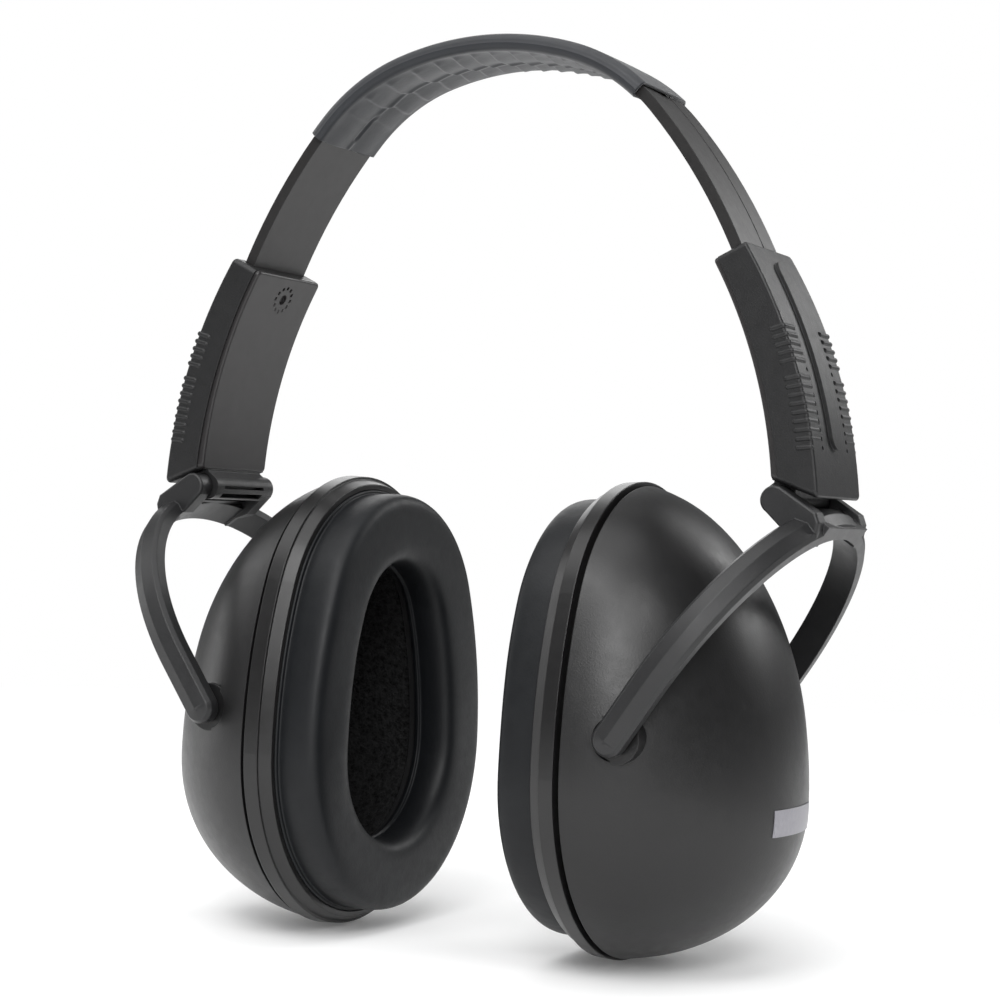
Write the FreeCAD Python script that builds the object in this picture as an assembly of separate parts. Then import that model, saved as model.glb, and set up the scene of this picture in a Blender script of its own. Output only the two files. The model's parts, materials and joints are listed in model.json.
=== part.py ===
"""Folding hearing protection earmuffs: a padded arch, two telescoping sliders, two yokes and two cups.

Frame: millimetres, +Z up. The origin is the middle of the underside of the headband padding, where
it rests on the crown of the head. X runs from ear to ear, Y from face (-Y) to nape (+Y).
Everything is drawn for the +X (right) side and mirrored in the plane X = 0 for the left side.
Angles along the arch are measured from +Z towards +X.
"""
import FreeCAD, Part

import os
from math import asin, atan2, cos, degrees, pi, radians, sin, sqrt

# ---- headband arch: one flat strip bent through crown, shoulder and side arcs ----
BAND_WIDTH = 21.4
BAND_THICKNESS = 2.5
BAND_TOP_Z = 4.4              # outer face of the strip over the crown
CROWN_RADIUS = 72.3
CROWN_HALF_ANGLE = 17.2
SIDE_CENTRE = (-55.7, -97.2)  # the sliders telescope about this centre
SIDE_RADIUS = 129.4           # outer face of the strip
BAND_END_ANGLE = 73.4
BAND_GROOVE_WIDTH = 6.6
BAND_GROOVE_DEPTH = 0.12
STOP_WIDTH = 23.4             # T-shaped stop at each end of the strip
STOP_LENGTH_ANGLE = 1.4

# ---- padding round the crown ----
SLEEVE_END_ANGLE = 49.8
SLEEVE_WIDTH = 25.0
SLEEVE_SKIN = 0.9
SLEEVE_ROUND = 1.8
FOAM_DEPTH = 1.0              # foam under the strip at the crown

# ---- slider ----
SLIDER_WIDTH = 27.0
SLIDER_CENTRE = (-45.0, -95.4)   # the slider's end and ribs lie along rays from here
SLIDER_TOP_ANGLE = 64.1
SLIDER_INNER_CENTRE = (-47.1, -104.7)
SLIDER_INNER_RADIUS = 118.8
SLIDER_OUTER_CENTRE = (-24.6, -99.7)
SLIDER_OUTER_RADIUS = 105.0
SLIDER_BOTTOM_INNER = (70.6, -91.95)
SLIDER_BOTTOM_OUTER = (81.0, -95.75)
SLIDER_END_ROUND = 1.3
SLIDER_EDGE_ROUND = 0.6
COVER_THICKNESS = 1.2
COVER_END_ANGLE = 83.8
COVER_INSET = 0.35
CHANNEL_CLEARANCE = 0.25
CHANNEL_END_ANGLE = 87.1
LIP_END_ANGLE = 69.6          # the stop catches on the lip between the mouth and this angle
STOP_CHANNEL_WIDTH = 24.0
SPRING_WIDTH = 7.0
SPRING_THICKNESS = 0.5
GRIP_RIB_COUNT = 15
GRIP_FIRST_ANGLE = 73.4
GRIP_PITCH_ANGLE = 0.85
GRIP_RIB_RADIUS = 0.6
GRIP_RIB_SINK = 0.25          # the ribs' axes lie this far under the slider's skin
GRIP_SIDE_REACH = 2.6
GRIP_OUTER_REACH = 5.6
GRIP_DIMPLE_RADIUS = 0.5
GRIP_DIMPLE_DEPTH = 0.35
RIDGE_WIDTH = 6.0
RIDGE_START_ANGLE = 67.3      # middles of the bar's round ends
RIDGE_END_ANGLE = 84.0
RIDGE_HEIGHT = 0.85
RIDGE_ROOT_RADIUS = 121.0
DIAL_RADIUS = 3.0
DIAL_MARK_COUNT = 12
DIAL_MARK_RADIUS = 0.45
DIAL_HUB_RADIUS = 1.25
DIAL_HUB_DEPTH = 0.7
DIAL_DEPTH = 0.3
DIAL_ANGLE = 67.0
DIAL_Y = 0.9

# ---- fold hinge between slider and yoke ----
HINGE = (72.2, -96.1)
KNUCKLE_RADIUS = 2.9
KNUCKLE_HALF_WIDTH = 10.8
KNUCKLE_BULGE = 1.7           # the knuckle swells this far towards the head
HINGE_PIN_RADIUS = 1.3
RUNNING_FIT = 0.05            # radial clearance of every turning fit
EAR_INNER_Y = 11.1
EAR_OUTER_Y = 15.3
EAR_WALL = 0.8                  # the pin's bores are blind
EAR_RADIUS = 3.0
EAR_EDGE_ROUND = 0.7
KNUCKLE_SLOT_HALF_WIDTH = 8.2
KNUCKLE_SLOTS = ((-92, 0.7), (-136, 1.5))    # direction from the bulge's middle, and height
KNUCKLE_SLOT_DEPTH = 1.5

# ---- yoke: a flat U-shaped fork that leans out from the cup pivots to the hinge ----
PIVOT = (49.0, -144.9)
YOKE_LEAN = 34.7
FORK_DEPTH = 6.8
FORK_OUTER_RADIUS = 43.3
FORK_INNER_RADIUS = 39.6
FORK_CENTRE_RISE = 12.8
FORK_RIDGE = 0.5              # height of the crest along the fork's outer face
FORK_CHAMFER = (0.7, 1.3)     # out of the fork's plane and along its radius

# ---- cup pivots ----
PIVOT_PIN_RADIUS = 2.5
PIVOT_PIN_INNER_Y = 32.6
PIVOT_BOSS_RADIUS = 5.2
PIVOT_POCKET_RADIUS = 4.6
PIVOT_POCKET_Y = 38.3
PIVOT_BOSS_INNER_Y = 31.0

# ---- cup: an oval of four arcs, seen along X ----
RIM_X = 31.2
WIDEST_Z = -153.9
OVAL_HALF_WIDTH = 40.0
OVAL_SIDE_RADIUS = 101.0
OVAL_TOP_RADIUS = 35.5
DOME_SWELL = 1.9              # the dome's base stands this far outside the oval
DOME_DEPTH = 42.6
DOME_APEX_DROP = 8.4
DOME_BASE_X = 7.0
DOME_WALL = 2.4
DOME_SECTIONS = 12
DOME_LAST_SECTION = 88.6      # degrees up the dome's quarter ellipse
OVAL_SPLINE_POINTS = 32
BEZEL_DEPTH = 5.9
BEZEL_STEP_X = 2.6
SEAT_X = 1.0                  # the cushion's back sits this far inside the bezel
SEAT_INSET = 1.2
PLATE_THICKNESS = 1.6
SPIGOT_WALL = 2.0
CUSHION_HEIGHT = 10.0
CUSHION_INSET = 2.1
CUSHION_RING = 16.0
CUSHION_ROUND = 2.8
CUSHION_SKIN = 1.0
ABSORBER_GAP = 0.8
ABSORBER_WALL = 10.0
LABEL_SIZE = (20.0, 5.6)
LABEL_DROP = 11.6
LABEL_THICKNESS = 0.25

Y_AXIS = FreeCAD.Vector(0, 1, 0)


# ---------------------------------------------------------------- drawing helpers
def vec(x, y, z):
    return FreeCAD.Vector(x, y, z)


def polar(centre, radius, angle):
    """Point of the XZ plane at an angle from +Z towards +X."""
    a = radians(angle)
    return (centre[0] + radius * sin(a), centre[1] + radius * cos(a))


def arc(a, b, c, y):
    """Arc through three XZ points, drawn at depth y."""
    return Part.Arc(vec(a[0], y, a[1]), vec(b[0], y, b[1]), vec(c[0], y, c[1])).toShape()


def line(a, b, y):
    return Part.LineSegment(vec(a[0], y, a[1]), vec(b[0], y, b[1])).toShape()


def prism(edges, y0, y1):
    """Solid between y0 and y1 from a closed run of XZ edges drawn at y0."""
    face = Part.Face(Part.Wire(edges))
    return face.extrude(vec(0, y1 - y0, 0))


def polygon_prism(points, y0, y1):
    closed = points + points[:1]
    edges = [line(a, b, y0) for a, b in zip(closed, closed[1:])]
    return prism(edges, y0, y1)


def sector(centre, r0, r1, a0, a1, half_width):
    """Bent slab: an annular sector about an axis along Y."""
    mid = (a0 + a1) / 2
    y = -half_width
    edges = [
        arc(polar(centre, r1, a0), polar(centre, r1, mid), polar(centre, r1, a1), y),
        line(polar(centre, r1, a1), polar(centre, r0, a1), y),
        arc(polar(centre, r0, a1), polar(centre, r0, mid), polar(centre, r0, a0), y),
        line(polar(centre, r0, a0), polar(centre, r1, a0), y),
    ]
    return prism(edges, y, half_width)


def rod(centre, radius, y0, y1):
    """Round bar along Y."""
    return Part.makeCylinder(radius, y1 - y0, vec(centre[0], y0, centre[1]), Y_AXIS)


def mirrored(shape):
    return shape.mirror(vec(0, 0, 0), vec(1, 0, 0))


def both_ends(shape):
    """A shape on the -Y side together with its twin on the +Y side."""
    return [shape, shape.mirror(vec(0, 0, 0), Y_AXIS)]


# ---------------------------------------------------------------- the arch's path
def arch_arcs(offset, end_angle):
    """Centre, radius and angles of the right half's arcs, offset inwards from the strip's outer face."""
    a = radians(CROWN_HALF_ANGLE)
    crown_centre = (0.0, BAND_TOP_Z - CROWN_RADIUS)
    end = polar(crown_centre, CROWN_RADIUS, CROWN_HALF_ANGLE)
    w = (end[0] - SIDE_CENTRE[0], end[1] - SIDE_CENTRE[1])
    along = w[0] * sin(a) + w[1] * cos(a)
    shoulder_radius = (SIDE_RADIUS ** 2 - w[0] ** 2 - w[1] ** 2) / (2 * (SIDE_RADIUS - along))
    shoulder_centre = polar(crown_centre, CROWN_RADIUS - shoulder_radius, CROWN_HALF_ANGLE)
    join = degrees(atan2(shoulder_centre[0] - SIDE_CENTRE[0], shoulder_centre[1] - SIDE_CENTRE[1]))
    return [
        (crown_centre, CROWN_RADIUS - offset, 0.0, CROWN_HALF_ANGLE),
        (shoulder_centre, shoulder_radius - offset, CROWN_HALF_ANGLE, join),
        (SIDE_CENTRE, SIDE_RADIUS - offset, join, end_angle),
    ]


def arch_edges(offset, end_angle, y):
    """The whole arch from the left end to the right end, as edges at depth y."""
    right = []
    for centre, radius, a0, a1 in arch_arcs(offset, end_angle):
        points = [polar(centre, radius, a) for a in (a0, (a0 + a1) / 2, a1)]
        right.append(points)
    left = [[(-p[0], p[1]) for p in reversed(points)] for points in reversed(right)]
    return [arc(a, b, c, y) for a, b, c in left + right]


def arch_end(offset, end_angle):
    return polar(SIDE_CENTRE, SIDE_RADIUS - offset, end_angle)


def arch_slab(outer, inner, end_angle, half_width):
    """Bent slab along the whole arch between two offsets from the strip's outer face."""
    y = -half_width
    top = arch_edges(outer, end_angle, y)
    bottom = arch_edges(inner, end_angle, y)
    p, q = arch_end(outer, end_angle), arch_end(inner, end_angle)
    sides = [line(p, q, y), line((-p[0], p[1]), (-q[0], q[1]), y)]
    ordered = Part.__sortEdges__(top + bottom + sides)
    return prism(ordered, y, half_width)


# ---------------------------------------------------------------- headband
def headband():
    strip = arch_slab(0.0, BAND_THICKNESS, BAND_END_ANGLE, BAND_WIDTH / 2)
    groove = arch_slab(-1.0, BAND_GROOVE_DEPTH, BAND_END_ANGLE + 1, BAND_GROOVE_WIDTH / 2)
    stop = sector(SIDE_CENTRE, SIDE_RADIUS - BAND_THICKNESS, SIDE_RADIUS - BAND_GROOVE_DEPTH,
                  BAND_END_ANGLE - STOP_LENGTH_ANGLE, BAND_END_ANGLE, STOP_WIDTH / 2)
    return strip.cut(groove).fuse([stop, mirrored(stop)]).removeSplitter()


def sleeve_foam():
    return arch_slab(BAND_THICKNESS, BAND_THICKNESS + FOAM_DEPTH, SLEEVE_END_ANGLE - 0.5,
                     SLEEVE_WIDTH / 2 - SLEEVE_SKIN)


def sleeve():
    """Vinyl sleeve wrapped round the strip and its foam, open at both ends."""
    lowest = BAND_THICKNESS + FOAM_DEPTH + SLEEVE_SKIN
    body = arch_slab(-SLEEVE_SKIN, lowest, SLEEVE_END_ANGLE, SLEEVE_WIDTH / 2)
    long_edges = [e for e in body.Edges if isinstance(e.Curve, Part.Circle)]
    body = body.makeFillet(SLEEVE_ROUND, long_edges)
    bore = arch_slab(0.0, lowest - SLEEVE_SKIN, SLEEVE_END_ANGLE + 1, SLEEVE_WIDTH / 2 - SLEEVE_SKIN)
    return body.cut(bore)


# ---------------------------------------------------------------- slider
def arc_meet(centre, radius, angle):
    """Where the slider's ray at this angle meets an arc."""
    a = radians(angle)
    u = (sin(a), cos(a))
    d = (SLIDER_CENTRE[0] - centre[0], SLIDER_CENTRE[1] - centre[1])
    b = d[0] * u[0] + d[1] * u[1]
    t = -b + sqrt(b * b - (d[0] ** 2 + d[1] ** 2 - radius ** 2))
    return (SLIDER_CENTRE[0] + t * u[0], SLIDER_CENTRE[1] + t * u[1])


def slider_envelope(inner_cut=0.0, outer_grow=0.0, half_width=SLIDER_WIDTH / 2):
    """Outer shape of the slider: two arcs, a radial top end and a sloping bottom end."""
    y = -half_width
    inner_radius = SLIDER_INNER_RADIUS + inner_cut
    outer_radius = SLIDER_OUTER_RADIUS + outer_grow
    mid = (SLIDER_TOP_ANGLE + CHANNEL_END_ANGLE) / 2
    top_in = arc_meet(SLIDER_INNER_CENTRE, inner_radius, SLIDER_TOP_ANGLE)
    mid_in = arc_meet(SLIDER_INNER_CENTRE, inner_radius, mid)
    top_out = arc_meet(SLIDER_OUTER_CENTRE, outer_radius, SLIDER_TOP_ANGLE)
    mid_out = arc_meet(SLIDER_OUTER_CENTRE, outer_radius, mid)
    low_in = (SLIDER_BOTTOM_INNER[0] + inner_cut, SLIDER_BOTTOM_INNER[1])
    low_out = (SLIDER_BOTTOM_OUTER[0] + outer_grow, SLIDER_BOTTOM_OUTER[1])
    edges = [
        arc(top_in, mid_in, low_in, y),
        line(low_in, low_out, y),
        arc(low_out, mid_out, top_out, y),
        line(top_out, top_in, y),
    ]
    return prism(edges, y, half_width)


def slider_channel():
    """Bent slot for the strip, with a wider stretch where its T-shaped stop travels."""
    r0 = SIDE_RADIUS - BAND_THICKNESS - CHANNEL_CLEARANCE
    r1 = SIDE_RADIUS + CHANNEL_CLEARANCE
    mouth = sector(SIDE_CENTRE, r0, r1, SLIDER_TOP_ANGLE - 2, CHANNEL_END_ANGLE,
                   BAND_WIDTH / 2 + CHANNEL_CLEARANCE)
    wide = sector(SIDE_CENTRE, r0, r1, LIP_END_ANGLE, CHANNEL_END_ANGLE, STOP_CHANNEL_WIDTH / 2)
    spring_bay = sector(SIDE_CENTRE, r1 - 0.1, r1 + 1.9, LIP_END_ANGLE + 1, CHANNEL_END_ANGLE - 1,
                        SPRING_WIDTH / 2 + 0.5)
    return mouth.fuse([wide, spring_bay])


def knuckle():
    """Tongue under the slider that turns on the hinge pin between the yoke's ears."""
    x, z = HINGE
    r = KNUCKLE_RADIUS
    barrel = rod(HINGE, r, -KNUCKLE_HALF_WIDTH, KNUCKLE_HALF_WIDTH)
    bulge = rod((x - KNUCKLE_BULGE, z), r, -KNUCKLE_HALF_WIDTH, KNUCKLE_HALF_WIDTH)
    root = polygon_prism([
        (x - KNUCKLE_BULGE, z - r),
        (x, z - r),
        (x + r * 0.8, z - r * 0.6),
        (x + r + 0.6, SLIDER_BOTTOM_OUTER[1] + 3.4),
        (SLIDER_BOTTOM_INNER[0], SLIDER_BOTTOM_INNER[1] + 2.0),
        (SLIDER_BOTTOM_INNER[0], SLIDER_BOTTOM_INNER[1] - 0.5),
        (x - KNUCKLE_BULGE - r * 0.7, z + r * 0.7),
    ], -KNUCKLE_HALF_WIDTH, KNUCKLE_HALF_WIDTH)
    return [barrel, bulge, root]


def rounded_slider(half_width):
    """The slider's outside with softened ends and a crisp edge round its outer face."""
    body = slider_envelope(half_width=half_width)
    ends = [e for e in body.Edges if isinstance(e.Curve, Part.Line) and e.BoundBox.YLength < 0.01]
    body = body.makeFillet(SLIDER_END_ROUND, ends)
    full_width = [f for f in body.Faces if f.BoundBox.YLength > half_width]
    outer_face = max(full_width, key=lambda f: f.CenterOfMass.x)
    return body.makeFillet(SLIDER_EDGE_ROUND, outer_face.Edges)


def grip_marks():
    """Round ribs that wrap the slider's outer corner on the -Y side, and a dimple at the end of each."""
    ribs, dimples = [], []
    y = GRIP_RIB_SINK - SLIDER_WIDTH / 2
    for i in range(GRIP_RIB_COUNT):
        angle = GRIP_FIRST_ANGLE + i * GRIP_PITCH_ANGLE
        outwards = polar((0, 0), 1.0, angle)
        inwards = vec(-outwards[0], 0, -outwards[1])
        x, z = arc_meet(SLIDER_OUTER_CENTRE, SLIDER_OUTER_RADIUS - GRIP_RIB_SINK, angle)
        corner = vec(x, y, z)
        across = Part.makeCylinder(GRIP_RIB_RADIUS, GRIP_OUTER_REACH, corner, Y_AXIS)
        along_side = Part.makeCylinder(GRIP_RIB_RADIUS, GRIP_SIDE_REACH, corner, inwards)
        knob = Part.makeSphere(GRIP_RIB_RADIUS, corner)
        tip = Part.makeSphere(GRIP_RIB_RADIUS, corner + inwards * GRIP_SIDE_REACH)
        ribs.append(across.fuse([along_side, knob, tip]))
        x, z = arc_meet(SLIDER_OUTER_CENTRE, SLIDER_OUTER_RADIUS - GRIP_DIMPLE_DEPTH, angle)
        bottom = vec(x, y + GRIP_OUTER_REACH, z)
        dimples.append(Part.makeCylinder(GRIP_DIMPLE_RADIUS, 3.0, bottom, inwards * -1))
    return ribs, dimples


def outer_ridge():
    """Long raised bar with round ends on the slider's outer face."""
    skin = slider_envelope(outer_grow=RIDGE_HEIGHT, half_width=RIDGE_WIDTH / 2)
    trim = sector(SLIDER_CENTRE, RIDGE_ROOT_RADIUS, RIDGE_ROOT_RADIUS + 11, RIDGE_START_ANGLE,
                  RIDGE_END_ANGLE, RIDGE_WIDTH / 2)
    ends = []
    for angle in (RIDGE_START_ANGLE, RIDGE_END_ANGLE):
        root = polar(SLIDER_CENTRE, RIDGE_ROOT_RADIUS, angle)
        direction = polar((0, 0), 1.0, angle)
        ends.append(Part.makeCylinder(RIDGE_WIDTH / 2, 11, vec(root[0], 0, root[1]),
                                      vec(direction[0], 0, direction[1])))
    return skin.common(trim.fuse(ends))


def knuckle_slots():
    """Slots across the knuckle's inner side."""
    middle = (HINGE[0] - KNUCKLE_BULGE, HINGE[1])
    slots = []
    for angle, height in KNUCKLE_SLOTS:
        near = polar(middle, KNUCKLE_RADIUS - KNUCKLE_SLOT_DEPTH, angle)
        direction = polar((0, 0), 1.0, angle)
        side = polar((0, 0), height / 2, angle + 90)
        far = (near[0] + 5 * direction[0], near[1] + 5 * direction[1])
        corners = [(near[0] - side[0], near[1] - side[1]), (far[0] - side[0], far[1] - side[1]),
                   (far[0] + side[0], far[1] + side[1]), (near[0] + side[0], near[1] + side[1])]
        slots.append(polygon_prism(corners, -KNUCKLE_SLOT_HALF_WIDTH, KNUCKLE_SLOT_HALF_WIDTH))
    return slots


def slider_housing():
    ribs, dimples = grip_marks()
    ribs = [part for rib in ribs for part in both_ends(rib)]
    dimples = [part for dimple in dimples for part in both_ends(dimple)]
    body = rounded_slider(SLIDER_WIDTH / 2).fuse(ribs + [outer_ridge()] + knuckle())
    body = body.cut(dimples + knuckle_slots())
    body = body.cut(cover_region(0.0)).cut(slider_channel())
    bore = rod(HINGE, HINGE_PIN_RADIUS, -20, 20)
    return body.cut(bore).removeSplitter()


def cover_region(inset):
    """The layer of the slider that lies within the cover's thickness of its inner face."""
    layer = sector(SLIDER_INNER_CENTRE, SLIDER_INNER_RADIUS - 3, SLIDER_INNER_RADIUS + COVER_THICKNESS,
                   50, COVER_END_ANGLE, SLIDER_WIDTH / 2 + 1 - inset)
    return layer


def slider_cover():
    plate = rounded_slider(SLIDER_WIDTH / 2 - COVER_INSET).common(cover_region(0.0))
    return plate.cut(slider_channel()).cut(dial_marks())


def dial_marks():
    """Sunk hub with a ring of small round marks round it, moulded in the cover's inner face."""
    face_centre = arc_meet(SLIDER_INNER_CENTRE, SLIDER_INNER_RADIUS, DIAL_ANGLE)
    into = polar((0, 0), 1.0, DIAL_ANGLE)
    inwards = vec(into[0], 0, into[1])
    surface = vec(face_centre[0], DIAL_Y, face_centre[1])
    centre = surface + inwards * DIAL_DEPTH
    out = inwards * -1
    uphill = vec(-into[1], 0, into[0])
    marks = [Part.makeCylinder(DIAL_HUB_RADIUS, 2.0, surface + inwards * DIAL_HUB_DEPTH, out)]
    for i in range(DIAL_MARK_COUNT):
        a = 2 * pi * i / DIAL_MARK_COUNT
        place = centre + Y_AXIS * (DIAL_RADIUS * cos(a)) + uphill * (DIAL_RADIUS * sin(a))
        marks.append(Part.makeCylinder(DIAL_MARK_RADIUS, 2.0, place, out))
    return marks


def detent_spring():
    """Bowed leaf spring that drags on the strip and holds the slider where it is set."""
    low = SIDE_RADIUS + CHANNEL_CLEARANCE - 0.1
    high = SIDE_RADIUS + CHANNEL_CLEARANCE + 1.9 - SPRING_THICKNESS
    a0, a1 = LIP_END_ANGLE + 2, CHANNEL_END_ANGLE - 2
    mid = (a0 + a1) / 2
    y = -SPRING_WIDTH / 2
    t = SPRING_THICKNESS
    edges = [
        arc(polar(SIDE_CENTRE, high, a0), polar(SIDE_CENTRE, low, mid), polar(SIDE_CENTRE, high, a1), y),
        line(polar(SIDE_CENTRE, high, a1), polar(SIDE_CENTRE, high + t, a1), y),
        arc(polar(SIDE_CENTRE, high + t, a1), polar(SIDE_CENTRE, low + t, mid),
            polar(SIDE_CENTRE, high + t, a0), y),
        line(polar(SIDE_CENTRE, high + t, a0), polar(SIDE_CENTRE, high, a0), y),
    ]
    return prism(edges, y, -y)


def hinge_pin():
    half = EAR_OUTER_Y - EAR_WALL - RUNNING_FIT
    return rod(HINGE, HINGE_PIN_RADIUS, -half, half)


# ---------------------------------------------------------------- yoke
def fork_point(n, s):
    """XZ point of the fork: s up its lean from the cup pivot, n out of its plane, away from the head."""
    a = radians(YOKE_LEAN)
    return (PIVOT[0] + s * sin(a) + n * cos(a), PIVOT[1] + s * cos(a) - n * sin(a))


def fork_plane(shape):
    """Places a shape drawn in the fork's own axes (n along X, Y, s along Z)."""
    placed = shape.copy()
    placed.rotate(vec(0, 0, 0), Y_AXIS, YOKE_LEAN)
    placed.translate(vec(PIVOT[0], 0, PIVOT[1]))
    return placed


def fork_section(side):
    """Half of the fork's cross-section at its -Y leg: a chamfered slab with a low crest outside."""
    depth = side * FORK_DEPTH / 2
    shoulder = side * (FORK_DEPTH / 2 - FORK_CHAMFER[0])
    corners = [(0.0, FORK_INNER_RADIUS), (depth, FORK_INNER_RADIUS),
               (depth, FORK_OUTER_RADIUS - FORK_CHAMFER[1]), (shoulder, FORK_OUTER_RADIUS - 0.3),
               (0.0, FORK_OUTER_RADIUS + FORK_RIDGE)]
    points = [vec(n, -r, 0) for n, r in corners]
    return Part.Face(Part.makePolygon(points + points[:1]))


def fork_arch():
    """U-shaped fork: a half ring on two straight legs whose round feet sit at the pivots."""
    middle = vec(0, 0, FORK_CENTRE_RISE)
    pieces = []
    for side in (-1, 1):
        section = fork_section(side)
        raised = section.copy()
        raised.translate(middle)
        pieces.append(raised.revolve(middle, vec(-1, 0, 0), 180))
        pieces += both_ends(section.extrude(middle))
    pieces += both_ends(fork_section(1).revolve(vec(0, 0, 0), Y_AXIS, 360))
    return pieces[0].fuse(pieces[1:])


def yoke():
    body = fork_plane(fork_arch())
    body = body.fuse(yoke_ears() + [yoke_bridge()])
    cuts = [rod(HINGE, HINGE_PIN_RADIUS + RUNNING_FIT, -EAR_OUTER_Y + EAR_WALL, EAR_OUTER_Y - EAR_WALL)]
    cuts.append(rod(HINGE, KNUCKLE_RADIUS + 0.5, -EAR_INNER_Y, EAR_INNER_Y))
    cuts += both_ends(rod(PIVOT, PIVOT_PIN_RADIUS, -FORK_OUTER_RADIUS + 1.2, -FORK_INNER_RADIUS + 1))
    return body.cut(cuts).removeSplitter()


def yoke_ears():
    """Two chunky lugs that reach inwards from the fork to hold the hinge pin."""
    s_top = FORK_CENTRE_RISE + FORK_OUTER_RADIUS
    s_low = FORK_CENTRE_RISE + FORK_INNER_RADIUS - 2.0
    hinge_n, hinge_s = hinge_in_fork()
    ear = polygon_prism([
        fork_point(hinge_n - 1.0, hinge_s - EAR_RADIUS + 0.1),
        fork_point(-FORK_DEPTH / 2, s_low - 1.0),
        fork_point(0.0, s_low),
        fork_point(FORK_DEPTH / 2, s_low),
        fork_point(FORK_DEPTH / 2, s_top - 4.0),
        fork_point(2.0, s_top - 0.8),
        fork_point(0.2, s_top + FORK_RIDGE),
        fork_point(hinge_n, hinge_s + EAR_RADIUS),
    ], -EAR_OUTER_Y, -EAR_INNER_Y)
    ear = ear.fuse(rod(HINGE, EAR_RADIUS, -EAR_OUTER_Y, -EAR_INNER_Y)).removeSplitter()
    rim = [e for e in ear.Edges if e.BoundBox.YMax < -EAR_OUTER_Y + 0.01]
    return both_ends(ear.makeFillet(EAR_EDGE_ROUND, rim))


def hinge_in_fork():
    a = radians(YOKE_LEAN)
    dx, dz = HINGE[0] - PIVOT[0], HINGE[1] - PIVOT[1]
    return dx * cos(a) - dz * sin(a), dx * sin(a) + dz * cos(a)


def yoke_bridge():
    """Block between the ears that meets the slider's end when the cup is open."""
    hinge_n, _ = hinge_in_fork()
    top = FORK_CENTRE_RISE + FORK_OUTER_RADIUS - 0.9
    low = FORK_CENTRE_RISE + FORK_INNER_RADIUS
    return polygon_prism([
        fork_point(hinge_n + 4.2, low),
        fork_point(FORK_DEPTH / 2, low),
        fork_point(FORK_DEPTH / 2, top),
        fork_point(hinge_n + 5.0, top),
    ], -EAR_INNER_Y - 1, EAR_INNER_Y + 1)


def pivot_pins():
    pin = rod(PIVOT, PIVOT_PIN_RADIUS, -FORK_OUTER_RADIUS + 1.2, -PIVOT_PIN_INNER_Y)
    return Part.makeCompound(both_ends(pin))


# ---------------------------------------------------------------- cup
def oval(x, grow, scale=1.0, drop=0.0):
    """Oval wire in the plane X = x: four tangent arcs, widest at WIDEST_Z, its foot a half circle."""
    w = (OVAL_HALF_WIDTH + grow) * scale
    side = (OVAL_SIDE_RADIUS + grow) * scale
    top = (OVAL_TOP_RADIUS + grow) * scale
    c = side - w
    rise = sqrt((side - top) ** 2 - c ** 2)
    z0 = WIDEST_Z - drop
    join = atan2(rise, c)
    px = RIM_X + x

    def at(y, z):
        return vec(px, y, z0 + z)

    shoulder = (side * cos(join) - c, side * sin(join))
    flank = (side * cos(join / 2) - c, side * sin(join / 2))
    edges = [
        Part.Arc(at(*shoulder), at(0, rise + top), at(-shoulder[0], shoulder[1])).toShape(),
        Part.Arc(at(-shoulder[0], shoulder[1]), at(-flank[0], flank[1]), at(-w, 0)).toShape(),
        Part.Arc(at(-w, 0), at(0, -w), at(w, 0)).toShape(),
        Part.Arc(at(w, 0), at(*flank), at(*shoulder)).toShape(),
    ]
    return Part.Wire(edges)


def oval_prism(x0, x1, grow):
    return Part.Face(oval(x0, grow)).extrude(vec(x1 - x0, 0, 0))


def oval_ring(x0, x1, grow, inner):
    return oval_prism(x0, x1, grow).cut(oval_prism(x0 - 1, x1 + 1, inner))


def oval_loft(x0, grow0, x1, grow1):
    return Part.makeLoft([oval(x0, grow0), oval(x1, grow1)], True, True)


def smooth_oval(x, grow, scale, drop):
    """The oval as one closed spline, so that a loft through it has no seams between arcs."""
    points = oval(x, grow, scale, drop).discretize(Number=OVAL_SPLINE_POINTS + 1)[:-1]
    curve = Part.BSplineCurve()
    curve.interpolate(Points=points, PeriodicFlag=True)
    return Part.Wire([curve.toShape()])


def dome(base_x, grow, depth):
    """Ellipsoidal dome over the oval; its apex lies below the widest point."""
    start = degrees(asin(base_x / depth))
    wires = []
    for i in range(DOME_SECTIONS + 1):
        theta = radians(start + (DOME_LAST_SECTION - start) * sin(pi / 2 * i / DOME_SECTIONS))
        rho = cos(theta)
        wires.append(smooth_oval(depth * sin(theta), grow, rho, DOME_APEX_DROP * (1 - rho)))
    return Part.makeLoft(wires, True, False)


def cup_shell():
    outer = dome(DOME_BASE_X, DOME_SWELL, DOME_DEPTH)
    spigot_x = SEAT_X + PLATE_THICKNESS
    spigot = oval_prism(spigot_x, DOME_BASE_X + 0.5, -SEAT_INSET - 0.1)
    hollow = dome(DOME_BASE_X + 1.8, DOME_SWELL - DOME_WALL - 0.6, DOME_DEPTH - DOME_WALL)
    mouth = oval_prism(spigot_x - 1, DOME_BASE_X + 1.9, -SEAT_INSET - SPIGOT_WALL)
    inner_bosses = both_ends(rod(PIVOT, PIVOT_BOSS_RADIUS, -PIVOT_POCKET_Y, -PIVOT_BOSS_INNER_Y))
    pocket = both_ends(rod(PIVOT, PIVOT_POCKET_RADIUS, -FORK_OUTER_RADIUS, -PIVOT_POCKET_Y))
    body = outer.fuse(spigot).cut([hollow, mouth]).fuse(inner_bosses).cut(pocket)
    bore = rod(PIVOT, PIVOT_PIN_RADIUS + RUNNING_FIT, -FORK_OUTER_RADIUS, -PIVOT_PIN_INNER_Y + 0.2)
    return body.cut(both_ends(bore))


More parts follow.
